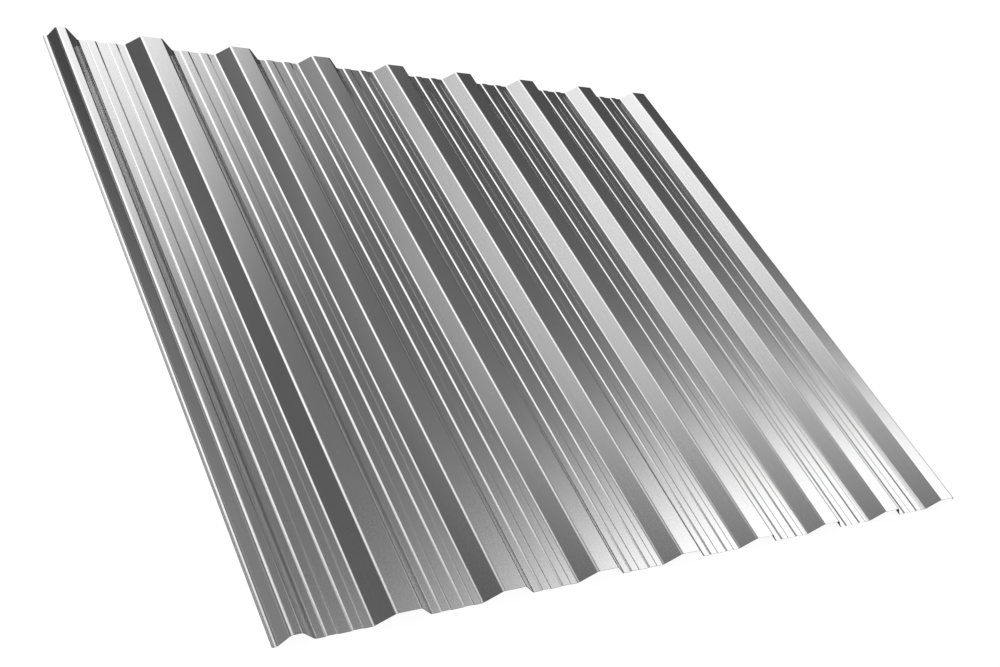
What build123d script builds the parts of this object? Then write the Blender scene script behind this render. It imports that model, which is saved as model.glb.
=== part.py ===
"""Trapezoidal profiled sheet: one length of coated steel strip, rolled into nine ribs.

Millimetres. X runs across the ribs, Y along them, Z up. The origin is the middle of the sheet
on the plane that the undersides of its troughs rest on.
"""

from build123d import *

import math
import os

# Strip and cut length
sheet_thickness = 0.7
sheet_length = 960.0

# Ribs, measured between the corners of their bends on the middle of the metal
rib_count = 9
rib_pitch = 137.5
crest_width = 30.8
web_run = 20.1
rib_rise = 18.3
bend_radius = 5.4

# Two shallow stiffening swages in the floor of each trough, crisp at the foot and round at the top
swage_spacing = 29.8
swage_foot_width = 15.6
swage_run = 1.9
swage_rise = 1.2
swage_foot_radius = 1.0
swage_top_radius = 4.0

# First rib: narrower and steeper on its outer side, so that a neighbour's last rib covers it. Its
# lip springs up a little towards the free edge
lap_crest_width = 13.0
lap_web_run = 9.2
lap_lip_width = 5.1
lap_lip_lift = 0.7

# Last rib: its free edge is turned down, along the slope of a web
turned_edge_length = 8.0

# Worked out from the sizes above
trough_width = rib_pitch - crest_width - web_run - web_run
web_slope = math.atan2(rib_rise, web_run)
floor_level = sheet_thickness / 2


def rib_corners(foot_x, left_run, crest, right_run):
    """The four bends of a rib, from its left foot to its right one, as (x, z, radius)."""
    left_x = foot_x + left_run
    right_x = left_x + crest
    return [
        (foot_x, 0, bend_radius),
        (left_x, rib_rise, bend_radius),
        (right_x, rib_rise, bend_radius),
        (right_x + right_run, 0, bend_radius),
    ]


def swage_corners(centre_x):
    """The four bends of one shallow swage, from left to right, as (x, z, radius)."""
    foot = swage_foot_width / 2
    top = foot - swage_run
    return [
        (centre_x - foot, 0, swage_foot_radius),
        (centre_x - top, swage_rise, swage_top_radius),
        (centre_x + top, swage_rise, swage_top_radius),
        (centre_x + foot, 0, swage_foot_radius),
    ]


def trough_corners(foot_x):
    """The bends of the two swages in the trough that starts at foot_x."""
    centre_x = foot_x + trough_width / 2
    side = swage_spacing / 2
    return swage_corners(centre_x - side) + swage_corners(centre_x + side)


def section_corners():
    """Every bend of the section, from the lip's edge to the turned-down edge, with its ends."""
    corners = [(0, lap_lip_lift, 0)]
    corners += rib_corners(lap_lip_width, lap_web_run, lap_crest_width, web_run)
    for _ in range(rib_count - 2):
        foot_x = corners[-1][0]
        corners += trough_corners(foot_x)
        corners += rib_corners(foot_x + trough_width, web_run, crest_width, web_run)

    foot_x = corners[-1][0]
    corners += trough_corners(foot_x)
    last_rib = rib_corners(foot_x + trough_width, web_run, crest_width, web_run)
    corners += last_rib[:-1]
    edge_x = last_rib[-2][0] + turned_edge_length * math.cos(web_slope)
    edge_z = rib_rise - turned_edge_length * math.sin(web_slope)
    return corners + [(edge_x, edge_z, 0)]


def bent_strip(corners):
    """The section of the metal: its middle line with every bend rounded, given its thickness."""
    points = [(x, z + floor_level) for x, z, _ in corners]
    radii = [radius for _, _, radius in corners[1:-1]]
    return trace(FilletPolyline(*points, radius=radii), sheet_thickness)


section = bent_strip(section_corners())
across = section.bounding_box()
centred_section = Pos(-across.center().X, 0) * section
profiled_sheet = extrude(Plane.XZ * centred_section, sheet_length / 2, both=True)

os.makedirs("parts", exist_ok=True)
export_step(profiled_sheet, "parts/profiled_sheet.step")

size = profiled_sheet.bounding_box().size
print("sheet", round(size.X, 2), "x", round(size.Y, 2), "x", round(size.Z, 2), "mm")
print("cover width", rib_pitch * (rib_count - 1), "mm")
print("strip width before rolling", round(section.area / sheet_thickness, 1), "mm")
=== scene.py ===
# %% [markdown]
# A trapezoidal profiled sheet, from strip to studio
#
# The real thing is one length of zinc-coated steel strip. A rolling mill bends it, a little at
# each pair of rolls, into nine flat-topped ribs, with two shallow swages in every trough between
# them. Nothing is joined to it. So this lesson makes one mesh, from the same sizes that a mill's
# drawing gives, then the coating, then the light that a bright metal needs before it looks like
# metal.
#
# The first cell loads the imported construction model. Every piece made here is in metres and in its
# frame: X across the ribs, Y along them, Z up, with the sheet lying on the plane Z = 0.

# %% Load the construction frame

import math

import bpy
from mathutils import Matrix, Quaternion, Vector


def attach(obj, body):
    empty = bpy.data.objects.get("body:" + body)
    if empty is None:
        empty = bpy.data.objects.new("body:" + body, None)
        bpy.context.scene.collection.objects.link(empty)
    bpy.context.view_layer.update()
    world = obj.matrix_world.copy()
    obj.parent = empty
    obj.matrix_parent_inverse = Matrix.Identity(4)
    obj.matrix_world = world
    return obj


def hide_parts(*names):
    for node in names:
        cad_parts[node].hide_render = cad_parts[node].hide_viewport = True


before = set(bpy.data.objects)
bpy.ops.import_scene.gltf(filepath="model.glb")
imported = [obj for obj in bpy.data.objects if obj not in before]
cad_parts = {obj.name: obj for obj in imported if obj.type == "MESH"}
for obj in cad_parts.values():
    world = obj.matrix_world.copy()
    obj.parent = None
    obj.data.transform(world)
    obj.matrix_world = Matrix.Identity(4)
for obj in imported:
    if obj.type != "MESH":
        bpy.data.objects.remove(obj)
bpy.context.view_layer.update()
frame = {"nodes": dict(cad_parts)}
print("construction model:", ", ".join(frame["nodes"]))

# %% [markdown]
# Sizes
#
# A drawing gives the section by its bends: how far apart they are, and how round. Lengths are on
# the middle of the metal, because that line keeps its length when strip is bent. They are written
# in millimetres, as a mill would, and one unit turns them to metres. Two more values serve the
# mesh: points nearer than the first are one point, and an edge that turns by more than the second
# is sharp.

# %% The sheet's sizes

MM = 0.001

sheet_sizes = {
    "Length": 960.0 * MM,
    "Thickness": 0.7 * MM,
    "Rib count": 9,
    "Rib pitch": 137.5 * MM,
    "Crest width": 30.8 * MM,
    "Web run": 20.1 * MM,
    "Rib rise": 18.3 * MM,
    "Bend radius": 5.4 * MM,
    "Swage spacing": 29.8 * MM,
    "Swage foot width": 15.6 * MM,
    "Swage run": 1.9 * MM,
    "Swage rise": 1.2 * MM,
    "Swage foot radius": 1.0 * MM,
    "Swage top radius": 4.0 * MM,
    "Lap crest width": 13.0 * MM,
    "Lap web run": 9.2 * MM,
    "Lap lip width": 5.1 * MM,
    "Lap lip lift": 0.7 * MM,
    "Turned edge length": 8.0 * MM,
    "Facets in a bend": 8,
}
WELD_DISTANCE = 0.01 * MM
ARRIS_ANGLE = math.radians(40)
print(len(sheet_sizes), "driving sizes")

# %% [markdown]
# One helper for every node
#
# Shader trees and geometry trees are built in the same way: add a node, set its options, then feed
# its inputs. One small function does that for both. An input is fed by a socket, by a list of
# sockets where it takes several, or by a plain value.

# %% Add a node


def add_node(tree, kind, options=None, inputs=None):
    """Adds a node, sets its options, and feeds its inputs from sockets or plain values."""
    node = tree.nodes.new(kind)
    for name, value in (options or {}).items():
        setattr(node, name, value)
    for name, value in (inputs or {}).items():
        sources = value if isinstance(value, list) else [value]
        for source in sources:
            if isinstance(source, bpy.types.NodeSocket):
                tree.links.new(source, node.inputs[name])
            else:
                node.inputs[name].default_value = source
    return node


print("helper ready:", add_node.__name__)

# %% [markdown]
# Four bends make a rib
#
# Every raised form of this section is the same figure at another size: up a slope, across a top,
# down a slope. A full rib, the narrow first rib and a shallow swage differ only in six numbers. It
# could be drawn three times by hand. Here it is one node group, so that a change to the figure is
# a change to all of them. It gives its four corners as points, and each point remembers how round
# its bend is.

# %% The group that gives four corners

BEND = "bend radius"


def four_bends_group():
    """A group that gives the corners of one raised form, from its left foot to its right one."""
    tree = bpy.data.node_groups.new("four bends", "GeometryNodeTree")
    for name in ("Left run", "Top width", "Right run", "Rise", "Foot radius", "Top radius"):
        tree.interface.new_socket(name, in_out="INPUT", socket_type="NodeSocketFloat")
    tree.interface.new_socket("Corners", in_out="OUTPUT", socket_type="NodeSocketGeometry")
    size = add_node(tree, "NodeGroupInput").outputs

    adding = {"operation": "ADD"}
    top_end = add_node(tree, "ShaderNodeMath", adding, {0: size["Left run"], 1: size["Top width"]})
    foot = add_node(tree, "ShaderNodeMath", adding, {0: top_end.outputs[0], 1: size["Right run"]})
    places = [
        (size["Foot radius"], {}),
        (size["Top radius"], {"X": size["Left run"], "Z": size["Rise"]}),
        (size["Top radius"], {"X": top_end.outputs[0], "Z": size["Rise"]}),
        (size["Foot radius"], {"X": foot.outputs[0]}),
    ]
    corners = []
    for radius, place in places:
        position = add_node(tree, "ShaderNodeCombineXYZ", None, place)
        corner = add_node(tree, "GeometryNodePoints", None, {"Position": position.outputs[0]})
        rounded = add_node(
            tree, "GeometryNodeStoreNamedAttribute", None,
            {"Geometry": corner.outputs[0], "Name": BEND, "Value": radius})
        corners.append(rounded.outputs[0])
    joined = add_node(tree, "GeometryNodeJoinGeometry", None, {"Geometry": corners})
    add_node(tree, "NodeGroupOutput", None, {"Corners": joined.outputs[0]})
    return tree


four_bends = four_bends_group()
print("four bends:", len(four_bends.nodes), "nodes")

# %% [markdown]
# The section as a row of corners
#
# The section repeats: a trough with two swages, then a rib, eight times over. Only its two sides
# are different. The first rib is narrower, with a small lip outside it that springs up a little,
# so that the last rib of the next sheet laps over it. The last rib ends part of the way down its
# outer slope.
#
# Geometry Nodes suit a shape that follows a rule like this. The bay is made once and put on a line
# of points, one pitch apart. No order has to be kept while the corners are gathered, because the
# node that threads a curve through them sorts them by how far across the sheet they lie.

# %% Start the sheet's tree, with its named inputs

tree = bpy.data.node_groups.new("profiled sheet", "GeometryNodeTree")
for name, value in sheet_sizes.items():
    whole = isinstance(value, int)
    kind = "NodeSocketInt" if whole else "NodeSocketFloat"
    tree.interface.new_socket(name, in_out="INPUT", socket_type=kind)
tree.interface.new_socket("Material", in_out="INPUT", socket_type="NodeSocketMaterial")
tree.interface.new_socket("Sheet", in_out="OUTPUT", socket_type="NodeSocketGeometry")
size = add_node(tree, "NodeGroupInput").outputs
print(len(tree.interface.items_tree), "sockets on the sheet's tree")

# %% One bay: two swages and a rib

double_web = add_node(
    tree, "ShaderNodeMath", {"operation": "MULTIPLY"}, {0: size["Web run"], 1: 2.0})
rib_foot_width = add_node(
    tree, "ShaderNodeMath", {"operation": "ADD"},
    {0: double_web.outputs[0], 1: size["Crest width"]})
trough_width = add_node(
    tree, "ShaderNodeMath", {"operation": "SUBTRACT"},
    {0: size["Rib pitch"], 1: rib_foot_width.outputs[0]})
rib = add_node(tree, "GeometryNodeGroup", {"node_tree": four_bends}, {
    "Left run": size["Web run"],
    "Top width": size["Crest width"],
    "Right run": size["Web run"],
    "Rise": size["Rib rise"],
    "Foot radius": size["Bend radius"],
    "Top radius": size["Bend radius"],
})
rib_start = add_node(tree, "ShaderNodeCombineXYZ", None, {"X": trough_width.outputs[0]})
placed_rib = add_node(tree, "GeometryNodeTransform", None, {
    "Geometry": rib.outputs[0], "Translation": rib_start.outputs[0]})

double_run = add_node(
    tree, "ShaderNodeMath", {"operation": "MULTIPLY"}, {0: size["Swage run"], 1: 2.0})
swage_top = add_node(
    tree, "ShaderNodeMath", {"operation": "SUBTRACT"},
    {0: size["Swage foot width"], 1: double_run.outputs[0]})
swage = add_node(tree, "GeometryNodeGroup", {"node_tree": four_bends}, {
    "Left run": size["Swage run"],
    "Top width": swage_top.outputs[0],
    "Right run": size["Swage run"],
    "Rise": size["Swage rise"],
    "Foot radius": size["Swage foot radius"],
    "Top radius": size["Swage top radius"],
})
swage_pair_width = add_node(
    tree, "ShaderNodeMath", {"operation": "ADD"},
    {0: size["Swage spacing"], 1: size["Swage foot width"]})
room_beside_swages = add_node(
    tree, "ShaderNodeMath", {"operation": "SUBTRACT"},
    {0: trough_width.outputs[0], 1: swage_pair_width.outputs[0]})
flat_beside_swages = add_node(
    tree, "ShaderNodeMath", {"operation": "MULTIPLY"}, {0: room_beside_swages.outputs[0], 1: 0.5})
first_swage = add_node(
    tree, "ShaderNodeCombineXYZ", None, {"X": flat_beside_swages.outputs[0]})
swage_step = add_node(tree, "ShaderNodeCombineXYZ", None, {"X": size["Swage spacing"]})
swage_line = add_node(tree, "GeometryNodeMeshLine", None, {
    "Count": 2, "Start Location": first_swage.outputs[0], "Offset": swage_step.outputs[0]})
swage_pair = add_node(tree, "GeometryNodeInstanceOnPoints", None, {
    "Points": swage_line.outputs[0], "Instance": swage.outputs[0]})
bay = add_node(tree, "GeometryNodeJoinGeometry", None, {
    "Geometry": [placed_rib.outputs[0], swage_pair.outputs[0]]})
bay_as_instance = add_node(
    tree, "GeometryNodeGeometryToInstance", None, {"Geometry": bay.outputs[0]})
print("bay made; the tree has", len(tree.nodes), "nodes")

# %% Eight bays in a row, from the first trough's foot

bay_count = add_node(
    tree, "ShaderNodeMath", {"operation": "SUBTRACT"}, {0: size["Rib count"], 1: 1.0})
bay_step = add_node(tree, "ShaderNodeCombineXYZ", None, {"X": size["Rib pitch"]})
bay_line = add_node(tree, "GeometryNodeMeshLine", None, {
    "Count": bay_count.outputs[0], "Offset": bay_step.outputs[0]})
bays = add_node(tree, "GeometryNodeInstanceOnPoints", None, {
    "Points": bay_line.outputs[0], "Instance": bay_as_instance.outputs[0]})
print("bays in a row; the tree has", len(tree.nodes), "nodes")

# %% The narrow first rib and its lip

lap_rib = add_node(tree, "GeometryNodeGroup", {"node_tree": four_bends}, {
    "Left run": size["Lap web run"],
    "Top width": size["Lap crest width"],
    "Right run": size["Web run"],
    "Rise": size["Rib rise"],
    "Foot radius": size["Bend radius"],
    "Top radius": size["Bend radius"],
})
lap_web_and_crest = add_node(
    tree, "ShaderNodeMath", {"operation": "ADD"},
    {0: size["Lap web run"], 1: size["Lap crest width"]})
lap_rib_width = add_node(
    tree, "ShaderNodeMath", {"operation": "ADD"},
    {0: lap_web_and_crest.outputs[0], 1: size["Web run"]})
lap_rib_start = add_node(
    tree, "ShaderNodeMath", {"operation": "MULTIPLY"}, {0: lap_rib_width.outputs[0], 1: -1.0})
lap_rib_place = add_node(tree, "ShaderNodeCombineXYZ", None, {"X": lap_rib_start.outputs[0]})
placed_lap_rib = add_node(tree, "GeometryNodeTransform", None, {
    "Geometry": lap_rib.outputs[0], "Translation": lap_rib_place.outputs[0]})
lip_edge = add_node(
    tree, "ShaderNodeMath", {"operation": "SUBTRACT"},
    {0: lap_rib_start.outputs[0], 1: size["Lap lip width"]})
lip_place = add_node(
    tree, "ShaderNodeCombineXYZ", None, {"X": lip_edge.outputs[0], "Z": size["Lap lip lift"]})
lip_point = add_node(tree, "GeometryNodePoints", None, {"Position": lip_place.outputs[0]})
print("first rib made; the tree has", len(tree.nodes), "nodes")

# %% [markdown]
# Thread the strip through its corners and round the bends
#
# A curve through the corners is the middle line of the metal. Its last corner is drawn back along
# the slope, to the length of edge that is turned down. Fillet Curve then rounds every corner with
# the radius that its point remembers. A bend needs few facets, because shading smooths them, but
# it needs the true radius: each bright line on such a sheet is a bend, and its width is the
# radius.

# %% The middle line of the metal

corners = add_node(tree, "GeometryNodeJoinGeometry", None, {
    "Geometry": [bays.outputs[0], placed_lap_rib.outputs[0], lip_point.outputs[0]]})
real_corners = add_node(
    tree, "GeometryNodeRealizeInstances", None, {"Geometry": corners.outputs[0]})
position = add_node(tree, "GeometryNodeInputPosition")
place_parts = add_node(
    tree, "ShaderNodeSeparateXYZ", None, {"Vector": position.outputs[0]})
polyline = add_node(tree, "GeometryNodePointsToCurves", None, {
    "Points": real_corners.outputs[0], "Weight": place_parts.outputs["X"]})

web_fall = add_node(
    tree, "ShaderNodeMath", {"operation": "MULTIPLY"}, {0: size["Rib rise"], 1: -1.0})
web_vector = add_node(tree, "ShaderNodeCombineXYZ", None, {
    "X": size["Web run"], "Z": web_fall.outputs[0]})
web_length = add_node(
    tree, "ShaderNodeVectorMath", {"operation": "LENGTH"}, {0: web_vector.outputs[0]})
kept_share = add_node(
    tree, "ShaderNodeMath", {"operation": "DIVIDE"},
    {0: size["Turned edge length"], 1: web_length.outputs["Value"]})
drawn_back_share = add_node(
    tree, "ShaderNodeMath", {"operation": "SUBTRACT"}, {0: kept_share.outputs[0], 1: 1.0})
drawn_back = add_node(
    tree, "ShaderNodeVectorMath", {"operation": "SCALE"},
    {0: web_vector.outputs[0], "Scale": drawn_back_share.outputs[0]})
last_corner = add_node(
    tree, "GeometryNodeCurveEndpointSelection", None, {"Start Size": 0, "End Size": 1})
with_turned_edge = add_node(tree, "GeometryNodeSetPosition", None, {
    "Geometry": polyline.outputs[0],
    "Selection": last_corner.outputs[0],
    "Offset": drawn_back.outputs[0],
})

bend_radius = add_node(
    tree, "GeometryNodeInputNamedAttribute", {"data_type": "FLOAT"}, {"Name": BEND})
middle_line = add_node(tree, "GeometryNodeFilletCurve", {"mode": "POLY"}, {
    "Curve": with_turned_edge.outputs[0],
    "Count": size["Facets in a bend"],
    "Radius": bend_radius.outputs["Attribute"],
    "Limit Radius": False,
})
print("middle line made; the tree has", len(tree.nodes), "nodes")

# %% [markdown]
# From a line to a sheet of metal
#
# The line is drawn out along Y into a skin, and the skin gets its thickness half to each side,
# along its own normals, as real strip has. Solidify could do it too. In the tree it costs a few
# nodes, and they also tell which faces are the cut edges, where the zinc ends and bare steel
# shows.
#
# Each point also keeps how far across the flat strip it was. With its place along the length, that
# is a ready-made map of the strip before it was bent, and the coating's grain will follow it.

# %% Draw the line out into a skin

ACROSS = "across the strip"
NORMAL = "metal normal"
CUT = "cut edge"
STRIP_MAP = "strip"

along_line = add_node(tree, "GeometryNodeSplineParameter")
measured_line = add_node(tree, "GeometryNodeStoreNamedAttribute", None, {
    "Geometry": middle_line.outputs[0], "Name": ACROSS, "Value": along_line.outputs["Length"]})
wire = add_node(tree, "GeometryNodeCurveToMesh", None, {"Curve": measured_line.outputs[0]})
draw_out = add_node(tree, "ShaderNodeCombineXYZ", None, {"Y": size["Length"]})
skin = add_node(tree, "GeometryNodeExtrudeMesh", {"mode": "EDGES"}, {
    "Mesh": wire.outputs[0], "Offset": draw_out.outputs[0], "Offset Scale": 1.0})
surface_normal = add_node(tree, "GeometryNodeInputNormal")
marked_skin = add_node(
    tree, "GeometryNodeStoreNamedAttribute", {"data_type": "FLOAT_VECTOR"},
    {"Geometry": skin.outputs["Mesh"], "Name": NORMAL, "Value": surface_normal.outputs[0]})
print("skin made; the tree has", len(tree.nodes), "nodes")

# %% Give the skin its thickness

metal_normal = add_node(
    tree, "GeometryNodeInputNamedAttribute", {"data_type": "FLOAT_VECTOR"}, {"Name": NORMAL})
half_down = add_node(
    tree, "ShaderNodeMath", {"operation": "MULTIPLY"}, {0: size["Thickness"], 1: -0.5})
down = add_node(
    tree, "ShaderNodeVectorMath", {"operation": "SCALE"},
    {0: metal_normal.outputs["Attribute"], "Scale": half_down.outputs[0]})
up = add_node(
    tree, "ShaderNodeVectorMath", {"operation": "SCALE"},
    {0: metal_normal.outputs["Attribute"], "Scale": size["Thickness"]})
under_skin = add_node(tree, "GeometryNodeSetPosition", None, {
    "Geometry": marked_skin.outputs[0], "Offset": down.outputs[0]})
raised = add_node(tree, "GeometryNodeExtrudeMesh", {"mode": "FACES"}, {
    "Mesh": under_skin.outputs[0], "Offset Scale": 0.0, "Individual": False})
marked_sides = add_node(
    tree, "GeometryNodeStoreNamedAttribute", {"data_type": "FLOAT", "domain": "FACE"}, {
        "Geometry": raised.outputs["Mesh"],
        "Selection": raised.outputs["Side"],
        "Name": CUT,
        "Value": 1.0,
    })
top_and_sides = add_node(tree, "GeometryNodeSetPosition", None, {
    "Geometry": marked_sides.outputs[0],
    "Selection": raised.outputs["Top"],
    "Offset": up.outputs[0],
})
underside = add_node(tree, "GeometryNodeFlipFaces", None, {"Mesh": under_skin.outputs[0]})
both_skins = add_node(tree, "GeometryNodeJoinGeometry", None, {
    "Geometry": [top_and_sides.outputs[0], underside.outputs[0]]})
solid = add_node(tree, "GeometryNodeMergeByDistance", None, {
    "Geometry": both_skins.outputs[0], "Distance": WELD_DISTANCE})
print("solid made; the tree has", len(tree.nodes), "nodes")

# %% Lay the sheet on the floor, and finish the tree

box = add_node(tree, "GeometryNodeBoundBox", None, {"Geometry": solid.outputs[0]})
corner_sum = add_node(
    tree, "ShaderNodeVectorMath", {"operation": "ADD"},
    {0: box.outputs["Min"], 1: box.outputs["Max"]})
box_middle = add_node(
    tree, "ShaderNodeVectorMath", {"operation": "SCALE"},
    {0: corner_sum.outputs[0], "Scale": 0.5})
middle_parts = add_node(
    tree, "ShaderNodeSeparateXYZ", None, {"Vector": box_middle.outputs[0]})
lowest_parts = add_node(
    tree, "ShaderNodeSeparateXYZ", None, {"Vector": box.outputs["Min"]})
rest_point = add_node(tree, "ShaderNodeCombineXYZ", None, {
    "X": middle_parts.outputs["X"],
    "Y": middle_parts.outputs["Y"],
    "Z": lowest_parts.outputs["Z"],
})
to_origin = add_node(
    tree, "ShaderNodeVectorMath", {"operation": "SCALE"},
    {0: rest_point.outputs[0], "Scale": -1.0})
laid = add_node(tree, "GeometryNodeTransform", None, {
    "Geometry": solid.outputs[0], "Translation": to_origin.outputs[0]})

across_strip = add_node(
    tree, "GeometryNodeInputNamedAttribute", {"data_type": "FLOAT"}, {"Name": ACROSS})
strip_place = add_node(tree, "ShaderNodeCombineXYZ", None, {
    "X": across_strip.outputs["Attribute"], "Y": place_parts.outputs["Y"]})
mapped = add_node(
    tree, "GeometryNodeStoreNamedAttribute", {"data_type": "FLOAT2", "domain": "CORNER"},
    {"Geometry": laid.outputs[0], "Name": STRIP_MAP, "Value": strip_place.outputs[0]})
smooth = add_node(tree, "GeometryNodeSetShadeSmooth", None, {"Geometry": mapped.outputs[0]})
edge_angle = add_node(tree, "GeometryNodeInputMeshEdgeAngle")
is_arris = add_node(tree, "FunctionNodeCompare", {"operation": "GREATER_THAN"}, {
    0: edge_angle.outputs["Unsigned Angle"], 1: ARRIS_ANGLE})
shaded = add_node(tree, "GeometryNodeSetShadeSmooth", {"domain": "EDGE"}, {
    "Geometry": smooth.outputs[0], "Selection": is_arris.outputs[0], "Shade Smooth": False})
cleared = shaded
for name in (BEND, ACROSS, NORMAL):
    cleared = add_node(tree, "GeometryNodeRemoveAttribute", None, {
        "Geometry": cleared.outputs[0], "Name": name})
realized = add_node(
    tree, "GeometryNodeRealizeInstances", None, {"Geometry": cleared.outputs[0]})
coated = add_node(tree, "GeometryNodeSetMaterial", None, {
    "Geometry": realized.outputs[0], "Material": size["Material"]})
add_node(tree, "NodeGroupOutput", None, {"Sheet": coated.outputs[0]})
print("profiled sheet:", len(tree.nodes), "nodes,", len(tree.links), "links")

# %% [markdown]
# The coating: skin-passed hot-dip zinc
#
# The strip is dipped in molten zinc and then squeezed between dull rolls, which crushes the
# crystals to a fine even satin. To the eye it is a neutral grey mirror that has been breathed on:
# flat faces carry soft pictures of the lights, and every bend draws one of them out to a line.
#
# A metal shows little besides its reflections, so the base colour is a plain light grey and stays
# nearly even. What makes it zinc is the roughness, a faint mottle from the rolls' dull texture,
# and still fainter streaks along the rolling direction. Both follow the strip's own map, so they
# run on round the bends as they do on the real sheet. The cut edges show bare steel, darker and
# duller.
#
# The real texture is about a tenth of a millimetre across, too fine for this distance. It is drawn
# at two and a half millimetres, the size of the grain that shows.

# %% Colours

ZINC = "#DEDEDE"
BARE_STEEL = "#7C7A78"


def from_hex(text):
    """An sRGB hex colour as linear red, green, blue and alpha."""
    linear = []
    for start in (1, 3, 5):
        part = int(text[start:start + 2], 16) / 255
        linear.append(part / 12.92 if part <= 0.04045 else ((part + 0.055) / 1.055) ** 2.4)
    return (*linear, 1.0)


print("zinc", [round(part, 3) for part in from_hex(ZINC)])

# %% The coating's texture, from sizes on the strip

MOTTLE_SIZE = 2.5 * MM
MOTTLE_DEPTH = 0.0002 * MM
MOTTLE_DETAIL = 1.0
MOTTLE_TONE_SWING = 0.10
STREAK_WIDTH = 1.2 * MM
STREAK_LENGTH = 150.0 * MM
STREAK_DETAIL = 2.0
STREAK_TONE_SWING = 0.05


def strip_noise(shader_tree, width, length, detail):
    """Noise on the flat strip, in lumps about this wide across it and this long along it."""
    strip_map = add_node(shader_tree, "ShaderNodeUVMap", {"uv_map": STRIP_MAP})
    stretched = add_node(shader_tree, "ShaderNodeVectorMath", {"operation": "MULTIPLY"}, {
        0: strip_map.outputs[0], 1: (1 / width, 1 / length, 1.0)})
    noise = add_node(shader_tree, "ShaderNodeTexNoise", {"noise_dimensions": "2D"}, {
        "Vector": stretched.outputs[0], "Scale": 1.0, "Detail": detail})
    return noise.outputs["Fac"]


print("mottle", MOTTLE_SIZE / MM, "mm, streaks", STREAK_WIDTH / MM, "by", STREAK_LENGTH / MM, "mm")

# %% The coating's material

ZINC_ROUGHNESS = 0.20
ROUGHNESS_SWING = 0.01
BARE_STEEL_ROUGHNESS = 0.45

# A Mix node has sockets for each kind of data. These are its colours.
COLOUR_A = 6
COLOUR_B = 7
MIXED_COLOUR = 2


def around(shader_tree, noise, middle, swing):
    """Turns noise into a value that swings about its middle."""
    spread = add_node(shader_tree, "ShaderNodeMapRange", None, {
        "Value": noise, "To Min": middle - swing, "To Max": middle + swing})
    return spread.outputs[0]


def zinc_coated_steel():
    """The coating: a satin mirror with a faint mottle and streaks, and bare steel at the cuts."""
    material = bpy.data.materials.new("skin_passed_zinc_on_steel")
    material.use_nodes = True
    shader_tree = material.node_tree
    shader = shader_tree.nodes["Principled BSDF"]
    shader.inputs["Metallic"].default_value = 1.0

    mottle = strip_noise(shader_tree, MOTTLE_SIZE, MOTTLE_SIZE, MOTTLE_DETAIL)
    streaks = strip_noise(shader_tree, STREAK_WIDTH, STREAK_LENGTH, STREAK_DETAIL)
    tone = add_node(shader_tree, "ShaderNodeMath", {"operation": "MULTIPLY"}, {
        0: around(shader_tree, mottle, 1.0, MOTTLE_TONE_SWING),
        1: around(shader_tree, streaks, 1.0, STREAK_TONE_SWING),
    })
    toned_zinc = add_node(shader_tree, "ShaderNodeVectorMath", {"operation": "SCALE"}, {
        0: from_hex(ZINC)[:3], "Scale": tone.outputs[0]})
    cut_edge = add_node(shader_tree, "ShaderNodeAttribute", {"attribute_name": CUT})
    metal = add_node(shader_tree, "ShaderNodeMix", {"data_type": "RGBA"}, {
        "Factor": cut_edge.outputs["Fac"],
        COLOUR_A: toned_zinc.outputs[0],
        COLOUR_B: from_hex(BARE_STEEL),
    })
    roughness = add_node(shader_tree, "ShaderNodeMix", None, {
        "Factor": cut_edge.outputs["Fac"],
        "A": around(shader_tree, mottle, ZINC_ROUGHNESS, ROUGHNESS_SWING),
        "B": BARE_STEEL_ROUGHNESS,
    })
    relief = add_node(shader_tree, "ShaderNodeBump", None, {
        "Height": mottle, "Distance": MOTTLE_DEPTH, "Strength": 1.0})
    shader_tree.links.new(metal.outputs[MIXED_COLOUR], shader.inputs["Base Color"])
    shader_tree.links.new(roughness.outputs[0], shader.inputs["Roughness"])
    shader_tree.links.new(relief.outputs[0], shader.inputs["Normal"])
    return material


zinc = zinc_coated_steel()
print("coating:", zinc.name, "with", len(zinc.node_tree.nodes), "nodes")

# %% [markdown]
# Rolling the sheet
#
# The tree runs as a modifier on an empty piece. Its inputs are set before it first runs, and then
# its result is kept as a plain mesh and the modifier goes. Weighted Normal comes after it: it lets
# the wide flats decide how light falls next to a bend, so that they stay flat up to its edge.

# %% Roll the sheet


def roll_sheet(material):
    """Runs the tree with the sheet's sizes and keeps its result as a plain mesh."""
    piece = bpy.data.objects.new("zinc_coated_sheet", bpy.data.meshes.new("flat strip"))
    bpy.context.scene.collection.objects.link(piece)
    rolling = piece.modifiers.new("rolling", "NODES")
    rolling.node_group = tree
    values = dict(sheet_sizes, Material=material)
    for socket in tree.interface.items_tree:
        if socket.in_out == "INPUT":
            rolling[socket.identifier] = values[socket.name]
    flats_first = piece.modifiers.new("flats first", "WEIGHTED_NORMAL")
    flats_first.keep_sharp = True
    evaluated = piece.evaluated_get(bpy.context.evaluated_depsgraph_get())
    piece.data = bpy.data.meshes.new_from_object(evaluated)
    piece.modifiers.clear()
    # The first slot is the flat strip's and empty. The second holds the coating.
    piece.data.materials.pop(index=0)
    return piece


sheet = roll_sheet(zinc)
rolled_size = [round(value, 5) for value in sheet.dimensions]
print("sheet:", len(sheet.data.polygons), "faces,", rolled_size, "m")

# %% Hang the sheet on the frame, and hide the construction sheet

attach(sheet, "root")
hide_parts("profiled_sheet")

# %% [markdown]
# A floor burnt out to white
#
# Catalogue pictures of bright metal are lit so that the floor burns out to plain white. The metal
# must not mirror such a floor, or its slopes would turn white too. So the camera sees this floor
# as lit white, with only a trace of shade under the sheet, and the metal sees it as studio grey.
#
# That grey is painted darker towards the back: painted shade, standing in for a studio floor that
# falls dark behind its lights. The slopes that face away at the far end mirror it there, and it
# gives the bright metal its darks.

# %% The floor

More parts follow.
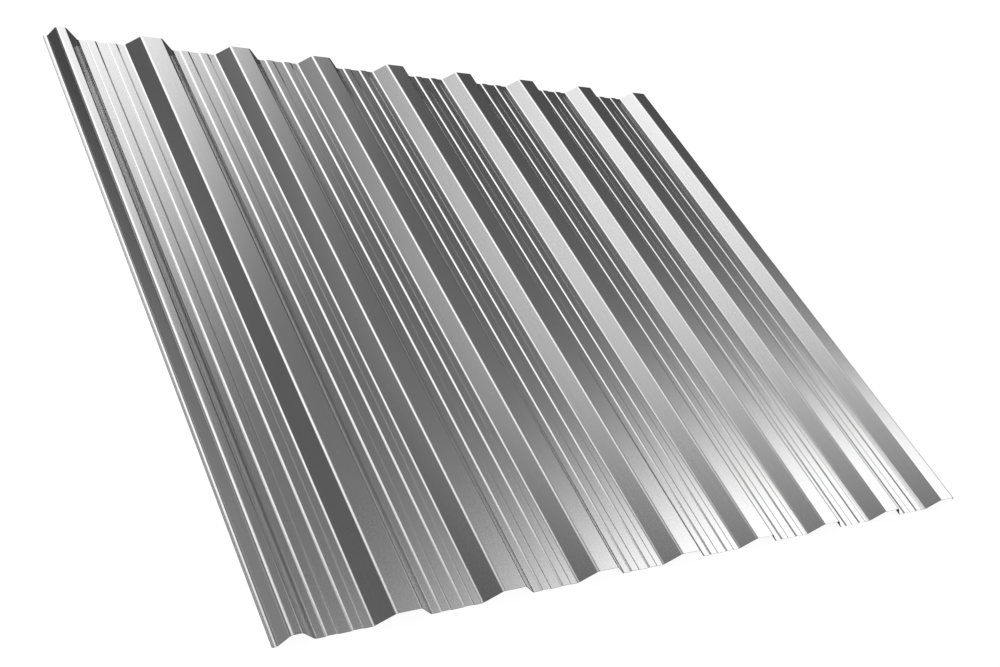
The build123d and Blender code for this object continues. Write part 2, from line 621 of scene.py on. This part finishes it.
FLOOR_HALF_WIDTH = 6.0
FLOOR_GLOW = 0.93
FLOOR_SHADE = "#7C7C7C"
STUDIO_GREY = "#BCBCBC"
STUDIO_DARK = "#6C6C6C"
FLOOR_FADE_START = -300.0 * MM
FLOOR_FADE_END = sheet_sizes["Length"] / 2


def burnt_out_floor():
    """Lit white to the camera, and to the metal a grey darkened towards the back by painted shade.
    """
    material = bpy.data.materials.new("matt_studio_floor")
    material.use_nodes = True
    floor_tree = material.node_tree
    floor_tree.nodes.clear()
    place = add_node(floor_tree, "ShaderNodeTexCoord")
    axes = add_node(
        floor_tree, "ShaderNodeSeparateXYZ", None, {"Vector": place.outputs["Object"]})
    fade = add_node(floor_tree, "ShaderNodeMapRange", None, {
        "Value": axes.outputs["Y"], "From Min": FLOOR_FADE_START, "From Max": FLOOR_FADE_END})
    # Painted shade: the grey that the metal mirrors darkens towards the back of the floor.
    mirrored = add_node(floor_tree, "ShaderNodeMix", {"data_type": "RGBA"}, {
        "Factor": fade.outputs[0],
        COLOUR_A: from_hex(STUDIO_GREY),
        COLOUR_B: from_hex(STUDIO_DARK),
    })
    grey = add_node(
        floor_tree, "ShaderNodeBsdfDiffuse", None, {"Color": mirrored.outputs[MIXED_COLOUR]})
    glow = add_node(floor_tree, "ShaderNodeEmission", None, {"Strength": FLOOR_GLOW})
    shade = add_node(floor_tree, "ShaderNodeBsdfDiffuse", None, {"Color": from_hex(FLOOR_SHADE)})
    white = add_node(
        floor_tree, "ShaderNodeAddShader", None, {0: glow.outputs[0], 1: shade.outputs[0]})
    ray = add_node(floor_tree, "ShaderNodeLightPath")
    seen = add_node(floor_tree, "ShaderNodeMixShader", None, {
        0: ray.outputs["Is Camera Ray"], 1: grey.outputs[0], 2: white.outputs[0]})
    add_node(floor_tree, "ShaderNodeOutputMaterial", None, {"Surface": seen.outputs[0]})
    return material


def make_floor():
    """One wide square under the sheet."""
    half = FLOOR_HALF_WIDTH
    corners = [(-half, -half, 0), (half, -half, 0), (half, half, 0), (-half, half, 0)]
    mesh = bpy.data.meshes.new("floor")
    mesh.from_pydata(corners, [], [(0, 1, 2, 3)])
    mesh.materials.append(burnt_out_floor())
    floor = bpy.data.objects.new("floor", mesh)
    bpy.context.scene.collection.objects.link(floor)
    return floor


floor = make_floor()
print("floor:", floor.dimensions.x, "m wide")

# %% [markdown]
# Light as something to mirror
#
# A shiny sheet shows its lights more than itself, so each light here is designed as a picture: a
# soft box with a size, a tilt and blurred edges. Area lamps could do it, but a sheet a metre wide
# would see a near lamp from a different side at each rib. These boxes are painted on the sky
# instead, where every rib sees them in the same place, as it would in a very large studio.
#
# A box is given as it would look from the sheet if it hung two metres off: where its middle is,
# how wide and high it is, and how far its edges blur. Azimuth is counted from X towards Y, and
# elevation from the floor up. What is left dark between them matters as much: the dark lines
# beside the bright ones are the gap between the back box and the right one. The front and top
# boxes hang behind the camera and overhead, where no rib can mirror them to it. They are there
# for anyone who walks round the sheet.
#
# The camera itself sees plain white above the floor, as it does below.

# %% The shape of one soft box

NEARLY_SIDEWAYS = 0.001


def soft_box_group():
    """A group that paints one soft box on the sky and gives its brightness in each direction."""
    box_tree = bpy.data.node_groups.new("soft box", "ShaderNodeTree")
    for name in ("Middle", "Sideways", "Upwards"):
        box_tree.interface.new_socket(name, in_out="INPUT", socket_type="NodeSocketVector")
    for name in ("Half width", "Half height", "Side blur", "End blur", "Brightness"):
        box_tree.interface.new_socket(name, in_out="INPUT", socket_type="NodeSocketFloat")
    box_tree.interface.new_socket("Light", in_out="OUTPUT", socket_type="NodeSocketFloat")
    box = add_node(box_tree, "NodeGroupInput").outputs

    direction = add_node(box_tree, "ShaderNodeTexCoord").outputs["Generated"]
    facing = add_node(
        box_tree, "ShaderNodeVectorMath", {"operation": "DOT_PRODUCT"},
        {0: direction, 1: box["Middle"]})
    ahead = add_node(
        box_tree, "ShaderNodeMath", {"operation": "MAXIMUM"},
        {0: facing.outputs["Value"], 1: NEARLY_SIDEWAYS})
    light = box["Brightness"]
    for axis, half, blur in (("Sideways", "Half width", "Side blur"),
                             ("Upwards", "Half height", "End blur")):
        along = add_node(
            box_tree, "ShaderNodeVectorMath", {"operation": "DOT_PRODUCT"},
            {0: direction, 1: box[axis]})
        offset = add_node(
            box_tree, "ShaderNodeMath", {"operation": "DIVIDE"},
            {0: along.outputs["Value"], 1: ahead.outputs[0]})
        distance = add_node(
            box_tree, "ShaderNodeMath", {"operation": "ABSOLUTE"}, {0: offset.outputs[0]})
        inner = add_node(
            box_tree, "ShaderNodeMath", {"operation": "SUBTRACT"}, {0: box[half], 1: box[blur]})
        outer = add_node(
            box_tree, "ShaderNodeMath", {"operation": "ADD"}, {0: box[half], 1: box[blur]})
        edge = add_node(
            box_tree, "ShaderNodeMapRange", {"interpolation_type": "SMOOTHSTEP"}, {
                "Value": distance.outputs[0],
                "From Min": inner.outputs[0],
                "From Max": outer.outputs[0],
                "To Min": 1.0,
                "To Max": 0.0,
            })
        light = add_node(
            box_tree, "ShaderNodeMath", {"operation": "MULTIPLY"},
            {0: light, 1: edge.outputs[0]}).outputs[0]
    add_node(box_tree, "NodeGroupOutput", None, {"Light": light})
    return box_tree


soft_box = soft_box_group()
print("soft box:", len(soft_box.nodes), "nodes")

# %% The lighting plan

BOX_DISTANCE = 2.0

# Each box has its azimuth, elevation and tilt in degrees, then its width, height, side blur and
# end blur in metres, and last its brightness.
# The first eight boxes and the studio's glow were found by another program, which fitted them to
# the photograph's tones, and are only rounded here. The last four boxes were chosen one by one.
lighting_plan = {
    "back box": (86, 39, -7, 1.38, 2.55, 0.17, 0.17, 0.70),
    "back left box": (119, 50.5, 34, 0.96, 1.04, 0.50, 0.35, 1.07),
    "low back box": (88, 28.5, 21, 1.80, 0.95, 0.18, 0.65, 0.90),
    "right box": (16, 56, -31, 2.25, 1.30, 0.90, 0.90, 0.20),
    "right strip": (16.5, 37.5, -9, 0.42, 0.80, 0.13, 0.11, 1.55),
    "right glow": (26, 45, -2, 0.24, 1.15, 0.22, 0.27, 0.61),
    "low left box": (176, 9, -1, 1.70, 1.50, 0.60, 0.75, 0.54),
    "left strip": (139, 17, 2, 0.67, 0.43, 0.24, 0.24, 0.65),
    "front box": (272, 39, 7, 1.40, 2.50, 0.20, 0.20, 0.55),
    "front left box": (236, 35, -20, 1.20, 1.60, 0.50, 0.50, 0.40),
    "front right box": (308, 35, 20, 1.20, 1.60, 0.50, 0.50, 0.50),
    "top box": (270, 72, 0, 2.40, 1.00, 0.40, 0.30, 0.45),
}
STUDIO_GLOW = 0.04
WHITE = "#FFFFFF"
print(len(lighting_plan), "soft boxes")

# %% Hang the soft boxes


def hang(world_tree, azimuth, elevation, tilt, width, height, side_blur, end_blur, brightness):
    """Adds one soft box to the sky and gives its light."""
    turn = math.radians(azimuth)
    lift = math.radians(elevation)
    outwards = Vector((math.cos(turn), math.sin(turn), 0.0))
    middle = outwards * math.cos(lift) + Vector((0.0, 0.0, math.sin(lift)))
    level = Vector((math.sin(turn), -math.cos(turn), 0.0))
    tilting = Quaternion(middle, math.radians(tilt))
    sideways = tilting @ level
    upwards = tilting @ level.cross(middle)
    return add_node(world_tree, "ShaderNodeGroup", {"node_tree": soft_box}, {
        "Middle": middle,
        "Sideways": sideways,
        "Upwards": upwards,
        "Half width": width / 2 / BOX_DISTANCE,
        "Half height": height / 2 / BOX_DISTANCE,
        "Side blur": side_blur / BOX_DISTANCE,
        "End blur": end_blur / BOX_DISTANCE,
        "Brightness": brightness,
    })


def light_studio():
    """Paints every soft box of the plan on the sky. The camera sees that sky as plain white."""
    world = bpy.data.worlds.new("studio")
    world.use_nodes = True
    world_tree = world.node_tree
    light = STUDIO_GLOW
    for place in lighting_plan.values():
        box = hang(world_tree, *place)
        light = add_node(world_tree, "ShaderNodeMath", {"operation": "ADD"}, {
            0: light, 1: box.outputs["Light"]}).outputs[0]
    white = from_hex(WHITE)
    mirrored = add_node(
        world_tree, "ShaderNodeBackground", None, {"Color": white, "Strength": light})
    plain = add_node(world_tree, "ShaderNodeBackground", None, {"Color": white})
    ray = add_node(world_tree, "ShaderNodeLightPath")
    seen = add_node(world_tree, "ShaderNodeMixShader", None, {
        0: ray.outputs["Is Camera Ray"], 1: mirrored.outputs[0], 2: plain.outputs[0]})
    world_tree.links.new(seen.outputs[0], world_tree.nodes["World Output"].inputs["Surface"])
    bpy.context.scene.world = world
    return world


studio = light_studio()
print("studio:", len(studio.node_tree.nodes), "nodes")

# %% [markdown]
# The camera
#
# It stands off the sheet's near left corner, a metre up, and looks down on it. It is also rolled
# to one side, so that the near edge rises to the right and the ribs run down the picture.
# Standard view transform keeps white white.

# %% Camera

CAMERA_PLACE = Vector((-1078.0, -950.0, 997.9)) * MM
CAMERA_AIM = Vector((-85.45, -95.24, 0.0)) * MM
CAMERA_ROLL = math.radians(32.508)
CAMERA_LENS = 43.334
SENSOR_WIDTH = 36.0


def place_camera():
    """A camera at its place, turned to its aim and rolled."""
    camera_data = bpy.data.cameras.new("camera")
    camera_data.sensor_width = SENSOR_WIDTH
    camera_data.lens = CAMERA_LENS
    camera = bpy.data.objects.new("camera", camera_data)
    forward = (CAMERA_AIM - CAMERA_PLACE).normalized()
    camera.location = CAMERA_PLACE
    camera.rotation_mode = "QUATERNION"
    aimed = forward.to_track_quat("-Z", "Y")
    camera.rotation_quaternion = Quaternion(forward, -CAMERA_ROLL) @ aimed
    bpy.context.scene.collection.objects.link(camera)
    bpy.context.scene.camera = camera
    bpy.context.scene.view_settings.view_transform = "Standard"
    bpy.context.view_layer.update()
    return camera


camera = place_camera()
print("camera", [round(value, 3) for value in camera.location], "lens", camera.data.lens, "mm")
